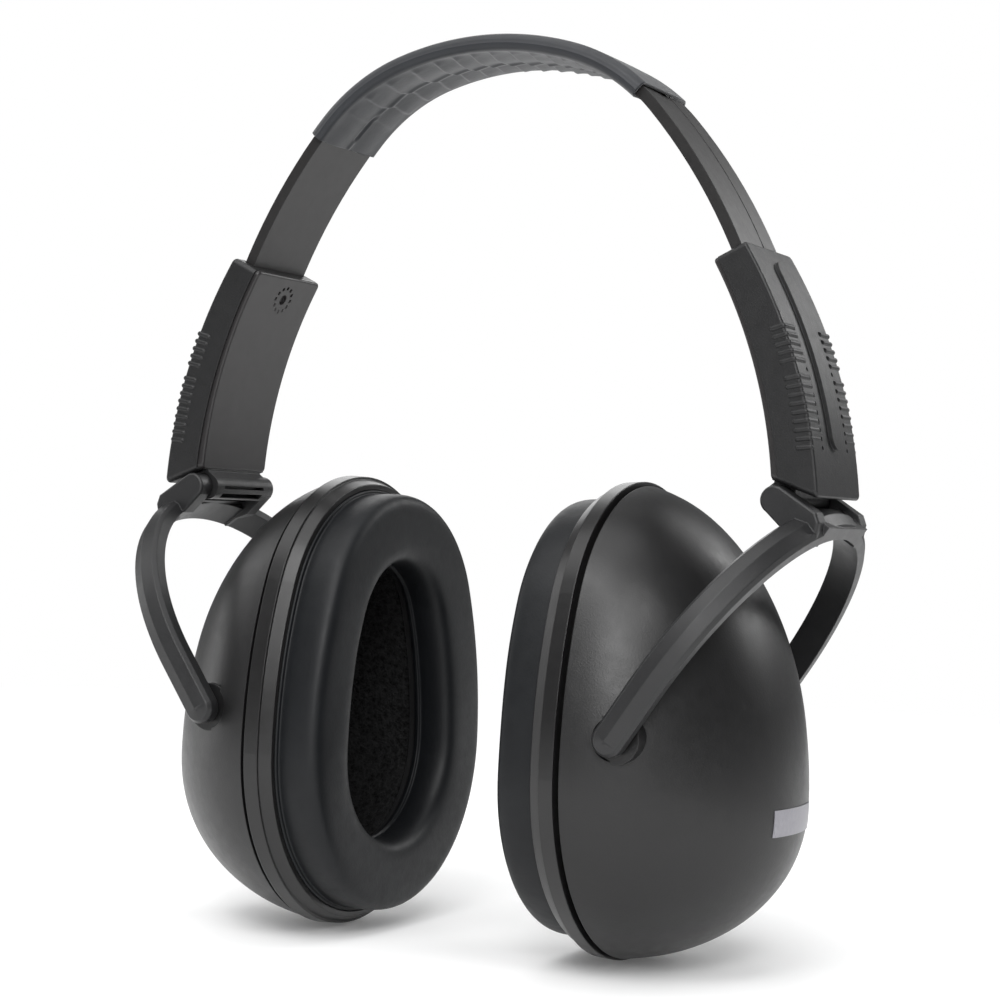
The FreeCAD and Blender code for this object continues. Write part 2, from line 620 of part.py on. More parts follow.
def bezel():
    """Glossy two-step ring between cup and cushion."""
    front = oval_loft(0.0, 0.0, BEZEL_STEP_X, 1.1)
    back = oval_loft(BEZEL_STEP_X, 1.7, BEZEL_DEPTH, 1.9)
    return front.fuse(back).cut(oval_prism(-1, BEZEL_DEPTH + 1, -SEAT_INSET))


def cushion_plate():
    return oval_ring(SEAT_X, SEAT_X + PLATE_THICKNESS, -SEAT_INSET - 0.1, -CUSHION_INSET - CUSHION_RING + 2)


def cushion_body(shrink):
    """Closed ring with round edges on its sealing side."""
    back, front = SEAT_X - shrink, -CUSHION_HEIGHT + shrink
    inner = -CUSHION_INSET - CUSHION_RING + shrink
    ring = oval_ring(front, back, -CUSHION_INSET - shrink, inner)
    sealing_side = RIM_X + front
    edges = [e for e in ring.Edges if abs(e.BoundBox.XMax - sealing_side) < 0.01
             and abs(e.BoundBox.XMin - sealing_side) < 0.01]
    return ring.makeFillet(CUSHION_ROUND - shrink, edges)


def cushion_skin():
    return cushion_body(0.0).cut(cushion_body(CUSHION_SKIN))


def absorber():
    """Open-cell foam bowl that lines the cup."""
    grow = DOME_SWELL - DOME_WALL - 0.6 - ABSORBER_GAP
    depth = DOME_DEPTH - DOME_WALL - ABSORBER_GAP
    bowl = dome(DOME_BASE_X + 4.0, grow, depth)
    hollow = dome(DOME_BASE_X + 3.0, grow - ABSORBER_WALL, depth - ABSORBER_WALL)
    around_boss = rod(PIVOT, PIVOT_BOSS_RADIUS + 0.6, -FORK_OUTER_RADIUS, -PIVOT_BOSS_INNER_Y + 0.6)
    return bowl.cut([hollow] + both_ends(around_boss))


def rating_label():
    """Blank sticker on the lower outer side of the right cup."""
    skin = dome(DOME_BASE_X, DOME_SWELL + LABEL_THICKNESS, DOME_DEPTH + LABEL_THICKNESS)
    window = Part.makeBox(30, LABEL_SIZE[0], LABEL_SIZE[1],
                          vec(RIM_X + 20, -LABEL_SIZE[0] / 2, WIDEST_Z - LABEL_DROP))
    return skin.common(window).cut(dome(DOME_BASE_X, DOME_SWELL, DOME_DEPTH))


# ---------------------------------------------------------------- output
def export(shape, name):
    if not shape.isValid():
        print("INVALID", name)
    shape.exportStep("parts/%s.step" % name)
    print("%-24s solids %d  volume %.1f" % (name, len(shape.Solids), shape.Volume))


def main():
    os.makedirs("parts", exist_ok=True)
    export(headband(), "headband")
    export(sleeve(), "headband_sleeve")
    export(sleeve_foam(), "headband_foam")
    pairs = {
        "slider_housing": slider_housing(),
        "slider_cover": slider_cover(),
        "detent_spring": detent_spring(),
        "hinge_pin": hinge_pin(),
        "yoke": yoke(),
        "pivot_pins": pivot_pins(),
        "cup_shell": cup_shell(),
        "bezel_ring": bezel(),
        "cushion_plate": cushion_plate(),
        "cushion_skin": cushion_skin(),
        "cushion_foam": cushion_body(CUSHION_SKIN),
        "sound_absorber": absorber(),
    }
    for name, shape in pairs.items():
        export(shape, name + "_right")
        export(mirrored(shape), name + "_left")
    export(rating_label(), "rating_label_right")


main()
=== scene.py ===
"""Looks of the hearing protection earmuffs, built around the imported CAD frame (metres)."""

import json
import math

import bmesh
import bpy
import numpy as np
from mathutils import Matrix, Vector


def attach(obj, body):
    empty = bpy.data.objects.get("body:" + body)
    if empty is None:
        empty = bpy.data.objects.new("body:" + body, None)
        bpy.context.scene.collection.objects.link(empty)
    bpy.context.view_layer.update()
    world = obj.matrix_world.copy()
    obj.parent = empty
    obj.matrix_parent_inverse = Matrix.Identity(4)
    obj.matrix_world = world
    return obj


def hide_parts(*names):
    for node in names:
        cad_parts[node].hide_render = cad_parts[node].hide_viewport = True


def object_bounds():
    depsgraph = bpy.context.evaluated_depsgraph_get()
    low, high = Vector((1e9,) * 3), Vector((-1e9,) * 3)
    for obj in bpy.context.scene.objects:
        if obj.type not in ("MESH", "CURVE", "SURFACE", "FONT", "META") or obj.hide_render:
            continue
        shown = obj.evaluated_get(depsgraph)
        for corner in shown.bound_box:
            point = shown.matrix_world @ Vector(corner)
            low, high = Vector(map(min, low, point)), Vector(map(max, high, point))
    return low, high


MM = 0.001
SIDES = {"right": 1.0, "left": -1.0}

# ---------------------------------------------------------------- dimensions shared with the CAD, in mm
BAND_TOP_Z, CROWN_RADIUS, CROWN_HALF_ANGLE = 4.4, 72.3, 17.2
SIDE_CENTRE, SIDE_RADIUS = (-55.7, -97.2), 129.4
BAND_THICKNESS = 2.5
SLEEVE_HALF_WIDTH, SLEEVE_TOP, SLEEVE_UNDERSIDE = 12.5, -0.9, 4.4
RIM_X, WIDEST_Z = 31.2, -153.9
OVAL_HALF_WIDTH, OVAL_SIDE_RADIUS, OVAL_TOP_RADIUS = 40.0, 101.0, 35.5
CUSHION_INSET = 2.1

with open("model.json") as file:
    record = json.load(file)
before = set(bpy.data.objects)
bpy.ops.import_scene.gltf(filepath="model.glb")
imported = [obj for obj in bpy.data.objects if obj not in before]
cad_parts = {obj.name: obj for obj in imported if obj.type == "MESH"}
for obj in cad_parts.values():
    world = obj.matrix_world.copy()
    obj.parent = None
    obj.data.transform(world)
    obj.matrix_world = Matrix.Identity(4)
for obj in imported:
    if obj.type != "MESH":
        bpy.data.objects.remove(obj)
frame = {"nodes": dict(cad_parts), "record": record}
cad_lo, cad_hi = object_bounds()


# ---------------------------------------------------------------- node helpers
class Nodes:
    """Short names for building one material's node tree."""

    def __init__(self, name):
        self.material = bpy.data.materials.new(name)
        self.material.use_nodes = True
        self.tree = self.material.node_tree
        self.tree.nodes.clear()
        self.output = self.tree.nodes.new("ShaderNodeOutputMaterial")
        self.shader = self.tree.nodes.new("ShaderNodeBsdfPrincipled")
        self.link(self.shader.outputs["BSDF"], self.output.inputs["Surface"])
        self.coords = self.tree.nodes.new("ShaderNodeTexCoord").outputs["Object"]

    def link(self, a, b):
        self.tree.links.new(a, b)

    def noise(self, size_mm, detail=2.0, roughness=0.5, stretch=None):
        node = self.tree.nodes.new("ShaderNodeTexNoise")
        node.inputs["Scale"].default_value = 1.0 / (size_mm * MM)
        node.inputs["Detail"].default_value = detail
        node.inputs["Roughness"].default_value = roughness
        self.link(self.stretched(stretch), node.inputs["Vector"])
        return node.outputs["Fac"]

    def cells(self, size_mm, feature="F1"):
        node = self.tree.nodes.new("ShaderNodeTexVoronoi")
        node.feature = feature
        node.inputs["Scale"].default_value = 1.0 / (size_mm * MM)
        self.link(self.coords, node.inputs["Vector"])
        return node.outputs["Distance"]

    def stretched(self, stretch):
        if stretch is None:
            return self.coords
        node = self.tree.nodes.new("ShaderNodeMapping")
        node.inputs["Scale"].default_value = stretch
        self.link(self.coords, node.inputs["Vector"])
        return node.outputs["Vector"]

    def spread(self, value, low, high, from_low=0.3, from_high=0.7):
        """Map a value from one range to another; noise mostly lies between 0.3 and 0.7."""
        node = self.tree.nodes.new("ShaderNodeMapRange")
        ends = {"From Min": from_low, "From Max": from_high, "To Min": low, "To Max": high}
        for name, number in ends.items():
            node.inputs[name].default_value = number
        self.link(value, node.inputs["Value"])
        return node.outputs["Result"]

    def math(self, operation, a, b):
        node = self.tree.nodes.new("ShaderNodeMath")
        node.operation = operation
        for socket, value in zip(node.inputs, (a, b)):
            if isinstance(value, (int, float)):
                socket.default_value = value
            else:
                self.link(value, socket)
        return node.outputs["Value"]

    def weighted_sum(self, a, weight_a, b, weight_b):
        return self.math("ADD", self.math("MULTIPLY", a, weight_a), self.math("MULTIPLY", b, weight_b))

    def blend_colours(self, factor, dark, light):
        node = self.tree.nodes.new("ShaderNodeMix")
        node.data_type = "RGBA"
        node.inputs["A"].default_value = (*dark, 1)
        node.inputs["B"].default_value = (*light, 1)
        self.link(factor, node.inputs["Factor"])
        return node.outputs["Result"]

    def bump(self, height, depth_mm, normal=None, strength=1.0):
        node = self.tree.nodes.new("ShaderNodeBump")
        node.inputs["Distance"].default_value = depth_mm * MM
        node.inputs["Strength"].default_value = strength
        self.link(height, node.inputs["Height"])
        if normal is not None:
            self.link(normal, node.inputs["Normal"])
        return node.outputs["Normal"]

    def rounded_edges(self, radius_mm):
        node = self.tree.nodes.new("ShaderNodeBevel")
        node.samples = 6
        node.inputs["Radius"].default_value = radius_mm * MM
        return node.outputs["Normal"]

    def finish(self, colour, rough, normal, ior=1.46, coat=0.0, sheen=0.0):
        inputs = self.shader.inputs
        self.link(colour, inputs["Base Color"])
        self.link(rough, inputs["Roughness"])
        self.link(normal, inputs["Normal"])
        inputs["IOR"].default_value = ior
        inputs["Coat Weight"].default_value = coat
        inputs["Coat Roughness"].default_value = 0.2
        inputs["Sheen Weight"].default_value = sheen
        return self.material


# ---------------------------------------------------------------- materials
def moulded_plastic(name, dark, light, rough, grain_mm, grain_depth_mm,
                    edge_mm=0.25, patch_mm=14.0, coat=0.0):
    """Injection-moulded plastic: an even fine grain, faint handling marks and softened edges."""
    n = Nodes(name)
    grain = n.noise(grain_mm, 2.0, 0.6)
    patches = n.noise(patch_mm, 3.0, 0.6)
    smudges = n.noise(patch_mm / 5, 4.0, 0.65)
    colour = n.blend_colours(n.spread(n.weighted_sum(patches, 0.6, grain, 0.4), 0, 1), dark, light)
    roughness = n.spread(smudges, rough - 0.045, rough + 0.045, 0.25, 0.75)
    normal = n.bump(grain, grain_depth_mm, n.rounded_edges(edge_mm))
    normal = n.bump(patches, 0.012, normal)
    return n.finish(colour, roughness, normal, coat=coat)


def vinyl(name, dark, light, rough, pebble_mm, sheen, ior):
    """Soft polyurethane or vinyl film: fine pebbled grain with shallow creases."""
    n = Nodes(name)
    pebble = n.cells(pebble_mm, "SMOOTH_F1")
    fine = n.noise(0.22, 3.0, 0.6)
    soft = n.noise(9.0, 3.0, 0.55)
    colour = n.blend_colours(n.spread(n.weighted_sum(soft, 0.7, fine, 0.3), 0, 1), dark, light)
    roughness = n.spread(n.noise(3.0, 4.0, 0.6), rough - 0.05, rough + 0.06, 0.25, 0.75)
    normal = n.bump(pebble, 0.02, strength=0.7)
    normal = n.bump(fine, 0.010, normal)
    normal = n.bump(soft, 0.10, normal)
    return n.finish(colour, roughness, normal, ior=ior, sheen=sheen)


def open_foam(name, dark, light):
    """Black reticulated foam: pores of two sizes, sunk by the bump and painted darker than the lighter
    struts as painted shade in the holes.
    """
    n = Nodes(name)
    pore_depth_and_shade = n.weighted_sum(n.cells(1.5), 0.7, n.cells(0.6), 0.5)
    # painted shade: the colour darkens towards each pore's centre, as the shade inside the holes
    colour = n.blend_colours(n.spread(pore_depth_and_shade, 0, 1, 0.25, 0.8), dark, light)
    roughness = n.spread(n.noise(4.0), 0.85, 1.0)
    return n.finish(colour, roughness, n.bump(pore_depth_and_shade, 0.8), ior=1.3)


def steel(name, dark, light, rough):
    """Drawn steel: fine streaks along the piece's width."""
    n = Nodes(name)
    streaks = n.noise(0.5, 3.0, 0.6, (1.0, 0.06, 1.0))
    colour = n.blend_colours(n.spread(streaks, 0, 1), dark, light)
    roughness = n.spread(streaks, rough - 0.06, rough + 0.08)
    n.shader.inputs["Metallic"].default_value = 1.0
    return n.finish(colour, roughness, n.bump(streaks, 0.01, n.rounded_edges(0.15)))


def sticker(name, dark, light):
    """Blank pale film: slight mottling and lifted edges."""
    n = Nodes(name)
    mottle = n.noise(1.2, 3.0, 0.6)
    colour = n.blend_colours(n.spread(mottle, 0, 1), dark, light)
    return n.finish(colour, n.spread(mottle, 0.32, 0.45), n.bump(mottle, 0.01, n.rounded_edges(0.1)))


# Each slot's kind of material, its darkest and lightest colour, and the kind's own settings.
SLOTS = {
    "band_plastic": (
        moulded_plastic, (0.0105, 0.0100, 0.0100), (0.0160, 0.0150, 0.0150),
        dict(rough=0.40, grain_mm=0.35, grain_depth_mm=0.012)),
    "slider_plastic": (
        moulded_plastic, (0.0052, 0.0052, 0.0056), (0.0090, 0.0090, 0.0095),
        dict(rough=0.45, grain_mm=0.42, grain_depth_mm=0.050)),
    "cover_plastic": (
        moulded_plastic, (0.0150, 0.0138, 0.0142), (0.0190, 0.0175, 0.0180),
        dict(rough=0.36, grain_mm=0.30, grain_depth_mm=0.005)),
    "yoke_plastic": (
        moulded_plastic, (0.0100, 0.0100, 0.0107), (0.0150, 0.0150, 0.0157),
        dict(rough=0.42, grain_mm=0.40, grain_depth_mm=0.022, edge_mm=0.4)),
    "cup_plastic": (
        moulded_plastic, (0.0062, 0.0061, 0.0064), (0.0095, 0.0093, 0.0096),
        dict(rough=0.37, grain_mm=0.38, grain_depth_mm=0.022, edge_mm=0.3)),
    "bezel_plastic": (
        moulded_plastic, (0.0070, 0.0068, 0.0070), (0.0100, 0.0096, 0.0098),
        dict(rough=0.33, grain_mm=0.50, grain_depth_mm=0.006, edge_mm=0.35, patch_mm=20.0, coat=0.08)),
    "plate_plastic": (
        moulded_plastic, (0.0100, 0.0100, 0.0105), (0.0150, 0.0150, 0.0155),
        dict(rough=0.35, grain_mm=0.45, grain_depth_mm=0.010)),
    "spring_steel": (steel, (0.42, 0.42, 0.42), (0.60, 0.60, 0.60), dict(rough=0.30)),
    "pin_steel": (steel, (0.20, 0.20, 0.21), (0.32, 0.32, 0.33), dict(rough=0.32)),
    "sleeve_vinyl": (
        vinyl, (0.0100, 0.0113, 0.0142), (0.0145, 0.0162, 0.0200),
        dict(rough=0.46, pebble_mm=0.8, sheen=0.15, ior=1.41)),
    "cushion_skin": (
        vinyl, (0.0042, 0.0048, 0.0058), (0.0066, 0.0074, 0.0088),
        dict(rough=0.48, pebble_mm=0.55, sheen=0.0, ior=1.35)),
    # the foam's darkest colour is the painted shade at the pores' centres
    "absorber_foam": (open_foam, (0.0006, 0.0006, 0.0006), (0.0120, 0.0120, 0.0124), {}),
    "label_film": (sticker, (0.23, 0.225, 0.25), (0.28, 0.275, 0.30), {}),
}
MATERIALS = {
    slot: kind(slot, dark, light, **settings)
    for slot, (kind, dark, light, settings) in SLOTS.items()
}


def paint_cad_nodes():
    """Give every CAD node the material of its slot."""
    for part in frame["record"]["subparts"]:
        material = MATERIALS.get(part["material_slot"])
        if material is None:
            continue
        node = frame["nodes"][part["node"]]
        if not node.material_slots:
            node.data.materials.append(material)
        for holder in node.material_slots:
            holder.material = material


# ---------------------------------------------------------------- mesh helpers
def add_mesh(name, vertices, faces, slot, body):
    """Add a smooth closed piece in metres that rides on a body."""
    mesh = bpy.data.meshes.new(name)
    mesh.from_pydata(vertices, [], faces)
    mesh.update()
    fixed = bmesh.new()
    fixed.from_mesh(mesh)
    bmesh.ops.recalc_face_normals(fixed, faces=fixed.faces)
    fixed.to_mesh(mesh)
    fixed.free()
    mesh.polygons.foreach_set("use_smooth", [True] * len(mesh.polygons))
    mesh.materials.append(MATERIALS[slot])
    obj = bpy.data.objects.new(name, mesh)
    bpy.context.scene.collection.objects.link(obj)
    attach(obj, body)
    return obj


def grid_faces(rows, columns, closed_rows):
    """Quads over a grid of rows by columns whose columns wrap round; rows wrap too if asked."""
    faces = []
    for i in range(rows if closed_rows else rows - 1):
        this_row, next_row = i * columns, (i + 1) % rows * columns
        for j in range(columns):
            k = (j + 1) % columns
            faces.append((this_row + j, this_row + k, next_row + k, next_row + j))
    return faces


def value_noise(seed, *coordinates):
    """Smooth noise from a few fixed sine waves, from about -1 to 1."""
    random = np.random.RandomState(seed)
    total = 0.0
    for _ in range(6):
        phase = random.uniform(0, 2 * math.pi)
        for c in coordinates:
            phase = phase + c * random.uniform(0.6, 1.6) * random.choice([-1, 1])
        total = total + np.sin(phase)
    return total / 3.5


def smoothstep(a, b, x):
    t = np.clip((x - a) / (b - a), 0, 1)
    return t * t * (3 - 2 * t)


# ---------------------------------------------------------------- headband sleeve
SLEEVE_LEFT, SLEEVE_RIGHT = -49.6, 41.4    # distances along the arch from the crown
SLEEVE_STATIONS = 300
SLEEVE_CROWNING = 0.12      # how far the top's middle stands above its edges
SIDE_BULGE, SIDE_BULGE_DEPTH = 0.08, 1.52
TOP_EDGE_RADIUS, LOW_EDGE_RADIUS = 2.3, 1.3
UNDERSIDE_MARGIN = 1.5      # from the sleeve's side to where its underside begins
LOW_EDGE = 2.95             # depth of the underside's border
TOP_POINTS, EDGE_POINTS, UNDERSIDE_POINTS = 23, 6, 71
BORE_HALF_WIDTH, BORE_TOP, BORE_GAP = 11.5, -0.25, 0.08

PLEAT_PITCH = 4.9           # at the crown; the pleats crowd towards the right end
PLEAT_CROWDING = 0.05       # how much less the pitch is, per mm along the arch
PLEAT_SLANT = 0.15
PLEAT_HEIGHT = 0.81
PLEAT_CREST = 0.20          # the share of a pleat taken by its steep flank
PLEATED_HALF_WIDTH, PLEAT_FADE = 8.4, 2.6
FAR_ROW_SHIFT = -0.35       # in pitches, across the seam
LEAST_UNDERSIDE = 2.75
PADDED_DEPTH, PADDING_CROWN = 3.0, 0.30
WELT_HEIGHT, WELT_HALF_WIDTH = 0.26, 0.6
SLIT_DEPTH, SLIT_HALF_WIDTH = 0.9, 0.55


def arch_arcs():
    """Centre, radius and angles of the right half's crown, shoulder and side arcs."""
    a = math.radians(CROWN_HALF_ANGLE)
    out = np.array([math.sin(a), math.cos(a)])
    crown = np.array([0.0, BAND_TOP_Z - CROWN_RADIUS])
    side = np.array(SIDE_CENTRE)
    w = crown + CROWN_RADIUS * out - side
    radius = (SIDE_RADIUS ** 2 - w @ w) / (2 * (SIDE_RADIUS - w @ out))
    shoulder = crown + (CROWN_RADIUS - radius) * out
    join = math.atan2(*(shoulder - side))
    return [(crown, CROWN_RADIUS, 0.0, a), (shoulder, radius, a, join), (side, SIDE_RADIUS, join, math.pi)]


def arch_station(distance):
    """Point on the strip's outer face and its outward normal, at a distance from the crown."""
    sign, left = math.copysign(1.0, distance), abs(distance)
    for centre, radius, start, end in arch_arcs():
        if left <= radius * (end - start):
            break
        left -= radius * (end - start)
    angle = start + left / radius
    out = np.array([math.sin(angle), math.cos(angle)])
    point = centre + radius * out
    return np.array([sign * point[0], point[1]]), np.array([sign * out[0], out[1]])


def seam_line(s):
    """Where the wavy lengthwise seam of the underside runs, across the sleeve."""
    return 1.5 + 0.03 * s + 0.5 * value_noise(3, s / 9.0) + 0.2 * np.sin(s / 1.9)


def pleats(s, y):
    """How far the pleats of the underside stand out at distance s along the arch and y across it."""
    pitch = PLEAT_PITCH - PLEAT_CROWDING * (s + PLEAT_SLANT * y)
    far_row = FAR_ROW_SHIFT * smoothstep(-2.2, 2.2, y - seam_line(s))
    wander = 0.14 * value_noise(5, s / 7.0) + 0.06 * value_noise(9, s / 5.0, y / 4.0)
    phase = -np.log(pitch) / PLEAT_CROWDING + far_row + wander
    t = phase - np.floor(phase)
    fold = (1 - t) ** 1.5 * smoothstep(0.0, PLEAT_CREST, t)
    reach = 1 - smoothstep(PLEATED_HALF_WIDTH, PLEATED_HALF_WIDTH + PLEAT_FADE, np.abs(y))
    left_end = smoothstep(SLEEVE_LEFT + 5, SLEEVE_LEFT + 18, s)
    right_end = 1 - smoothstep(SLEEVE_RIGHT - 22, SLEEVE_RIGHT - 10, s)
    strength = 0.85 + 0.25 * value_noise(13, s / 6.0, far_row * 6.0)
    return PLEAT_HEIGHT * fold * reach * left_end * right_end * strength


def underside(s, y):
    """Depth of the sleeve's underside below the strip's outer face."""
    across = y - seam_line(s)
    half_width = SLEEVE_HALF_WIDTH - UNDERSIDE_MARGIN
    padded = PADDED_DEPTH + PADDING_CROWN * np.sin(math.pi * across / half_width) ** 2
    welt_fade = 1 - 0.7 * smoothstep(SLEEVE_RIGHT - 14, SLEEVE_RIGHT - 4, s)
    welt = WELT_HEIGHT * welt_fade * np.exp(-(across / WELT_HALF_WIDTH) ** 2)
    slit_end = smoothstep(SLEEVE_LEFT + 13, SLEEVE_LEFT + 8, s)
    slit_start = smoothstep(SLEEVE_LEFT + 2, SLEEVE_LEFT + 4, s)
    slit = SLIT_DEPTH * slit_start * slit_end * np.exp(-(across / SLIT_HALF_WIDTH) ** 4)
    wobble = 0.08 * value_noise(21, s / 7.0, y / 4.0)
    return np.clip(padded + pleats(s, y) + wobble + welt - slit, LEAST_UNDERSIDE, SLEEVE_UNDERSIDE)


def sleeve_section(s):
    """Closed outline (across, depth) of the sleeve's outside at distance s."""
    w, edge, low_edge = SLEEVE_HALF_WIDTH, TOP_EDGE_RADIUS, LOW_EDGE_RADIUS
    top_y = np.linspace(edge - w, w - edge, TOP_POINTS)
    top = [(y, SLEEVE_TOP + SLEEVE_CROWNING * (y / w) ** 2) for y in top_y]
    side = [(w - edge + edge * math.cos(angle), SLEEVE_TOP + edge - edge * math.sin(angle))
            for angle in np.radians(np.linspace(75, 0, EDGE_POINTS))]
    side.append((w + SIDE_BULGE, SIDE_BULGE_DEPTH))
    side += [(w - low_edge + low_edge * math.cos(angle), LOW_EDGE - low_edge + low_edge * math.sin(angle))
             for angle in np.radians(np.linspace(0, 75, EDGE_POINTS))]
    under_y = np.linspace(w - UNDERSIDE_MARGIN, UNDERSIDE_MARGIN - w, UNDERSIDE_POINTS)
    under = list(zip(under_y, underside(s, under_y)))
    return top + side + under + [(-y, depth) for y, depth in reversed(side)]


def sleeve_bore(count):
    """Closed outline of the sleeve's inside, with as many points as its outside."""
    w, top, low = BORE_HALF_WIDTH, BORE_TOP, BAND_THICKNESS + BORE_GAP
    corners = np.array([(-w, top), (w, top), (w, low), (-w, low), (-w, top)])
    lengths = np.linalg.norm(np.diff(corners, axis=0), axis=1)
    around = np.concatenate([[0.0], np.cumsum(lengths)])
    places = np.arange(count) * around[-1] / count
    return list(zip(np.interp(places, around, corners[:, 0]), np.interp(places, around, corners[:, 1])))


def build_sleeve():
    """Vinyl sleeve wrapped and seamed round the strip, pleated on its underside, open at both ends."""
    stations = np.linspace(SLEEVE_LEFT, SLEEVE_RIGHT, SLEEVE_STATIONS)
    outside = [(s, sleeve_section(s)) for s in stations]
    count = len(outside[0][1])
    bore = sleeve_bore(count)
    vertices = []
    for s, outline in outside + [(s, bore) for s in reversed(stations)]:
        point, out = arch_station(s)
        for y, depth in outline:
            x, z = point - out * depth
            vertices.append((x * MM, y * MM, z * MM))
    faces = grid_faces(2 * SLEEVE_STATIONS, count, True)
    sleeve = add_mesh("sleeve", vertices, faces, "sleeve_vinyl", "headband")
    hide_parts("headband_sleeve", "headband_foam")


# ---------------------------------------------------------------- ear cushions and foam liners
# Section of the cushion, from the welded lip at the bezel, over the crown and down the inner wall to
# its welded bead, then back along the plate: (inwards from the outer edge, height above the rim).
CUSHION_PROFILE = [
    (-0.75, -0.55), (-0.80, -0.1), (-0.72, 0.32), (-0.35, 0.42), (0.02, 0.30), (0.22, 0.55),
    (0.16, 1.2), (0.06, 2.4), (0.0, 4.0), (0.0, 5.8), (0.12, 7.2), (0.45, 8.35), (1.05, 9.15),
    (1.95, 9.65), (3.2, 9.9), (5.2, 10.0), (7.8, 10.02), (10.2, 9.98), (12.2, 9.85), (13.6, 9.55),
    (14.6, 9.0), (15.3, 8.15), (15.75, 7.0), (15.95, 5.4), (15.85, 3.4), (15.5, 1.9), (15.3, 1.4),
    (15.4, 1.1), (15.9, 0.95), (15.95, 0.6), (15.6, 0.2), (15.4, -0.7), (14.2, -0.9), (9.0, -0.9),
    (4.0, -0.9), (0.6, -0.9),
]
CUSHION_COLUMNS = 200
CUSHION_UNEVENNESS = 0.22

# Sections of the foam bowl, as (depth behind the rim, growth of the oval, scale of the oval).
LINER_OUTSIDE = [
    (3.4, -5.2, 1.0), (8.0, -5.2, 1.0), (12.0, -5.6, 0.97), (20.0, -5.6, 0.88), (28.0, -5.6, 0.72),
    (34.0, -5.6, 0.47), (37.0, -5.6, 0.2),
]
LINER_INSIDE = [
    (27.5, -13.0, 0.05), (27.0, -13.0, 0.3), (25.0, -13.0, 0.52), (22.0, -13.0, 0.70),
    (18.0, -13.0, 0.83), (14.0, -13.5, 0.92), (10.0, -13.8, 0.97), (7.0, -14.0, 1.0),
    (4.6, -14.0, 1.0), (3.5, -13.2, 1.0),
]
LINER_COLUMNS = 120
LINER_UNEVENNESS = 0.28
LINER_DROP = 8.4            # how far the bowl's bottom lies below the cup's widest level


def oval_points(grow, scale, drop, count):
    """Points (y, z) round the cup's oval, evenly spaced along it, starting at the top."""
    w, side, top = [(v + grow) * scale for v in (OVAL_HALF_WIDTH, OVAL_SIDE_RADIUS, OVAL_TOP_RADIUS)]
    c = side - w
    rise = math.sqrt((side - top) ** 2 - c ** 2)
    join = math.atan2(rise, c)
    top_length, side_length, low_length = (math.pi / 2 - join) * top, join * side, math.pi / 2 * w
    points = []
    for d in np.linspace(0, top_length + side_length + low_length, count // 2 + 1):
        if d < top_length:
            a = math.pi / 2 - d / top
            points.append((top * math.cos(a), rise + top * math.sin(a)))
        elif d < top_length + side_length:
            a = join - (d - top_length) / side
            points.append((side * math.cos(a) - c, side * math.sin(a)))
        else:
            a = -(d - top_length - side_length) / w
            points.append((w * math.cos(a), w * math.sin(a)))
    points += [(-y, z) for y, z in reversed(points[1:-1])]
    return [(y, WIDEST_Z - drop + z) for y, z in points]


def ring_vertices(side_name, depths, points):
    """Vertices of one ring of a cup's piece, from its depths behind the rim and its points (y, z)."""
    side = SIDES[side_name]
    return [(side * (RIM_X + depth) * MM, y * MM, z * MM) for depth, (y, z) in zip(depths, points)]


def build_cushion(side_name):
    """Heat-moulded ear cushion: soft film over foam, crowned, with a thin welded lip in the bezel."""
    around = np.linspace(0, 2 * math.pi, CUSHION_COLUMNS, endpoint=False)
    vertices = []
    for inwards, height in CUSHION_PROFILE:
        uneven = value_noise(31, 3 * np.cos(around), 3 * np.sin(around), inwards / 4.0)
        lift = np.clip(height / 6.0, 0, 1) * CUSHION_UNEVENNESS * uneven
        depths = -height - np.where(lift < 0, lift, lift / 2)
        points = oval_points(-CUSHION_INSET - inwards, 1.0, 0.0, CUSHION_COLUMNS)
        vertices += ring_vertices(side_name, depths, points)
    faces = grid_faces(len(CUSHION_PROFILE), CUSHION_COLUMNS, True)
    cushion = add_mesh("cushion_" + side_name, vertices, faces, "cushion_skin", "cup_" + side_name)
    smooth = cushion.modifiers.new("smooth", "SUBSURF")
    smooth.levels = smooth.render_levels = 1
    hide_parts("cushion_skin_" + side_name, "cushion_foam_" + side_name)


def build_liner(side_name):
    """Open-cell foam bowl inside the cup, with a lumpy inner face and a lip behind the cushion plate."""
    around = np.linspace(0, 2 * math.pi, LINER_COLUMNS, endpoint=False)
    vertices = []
    for depth, grow, scale in LINER_OUTSIDE + LINER_INSIDE:
        lumps = value_noise(41, 9 * np.cos(around), 9 * np.sin(around), depth * 1.3)
        points = oval_points(grow, scale, LINER_DROP * (1 - scale), LINER_COLUMNS)
        vertices += ring_vertices(side_name, depth + LINER_UNEVENNESS * lumps, points)
    faces = grid_faces(len(LINER_OUTSIDE + LINER_INSIDE), LINER_COLUMNS, True)
    liner = add_mesh("foam_liner_" + side_name, vertices, faces, "absorber_foam", "cup_" + side_name)
    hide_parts("sound_absorber_" + side_name)


# ---------------------------------------------------------------- stage, light and camera
FLOOR_HALF_SIZE, FLOOR_GAP = 3.0, 0.0006
FLOOR_GLOW = 0.09
SURROUND = 1.0              # what the camera sees of the studio beyond the floor
WORLD_LIGHT = 0.17
NEAR_FLOOR, FAR_FLOOR = 0.30, 0.75
AIM = Vector((0.0, 0.0, -0.10))
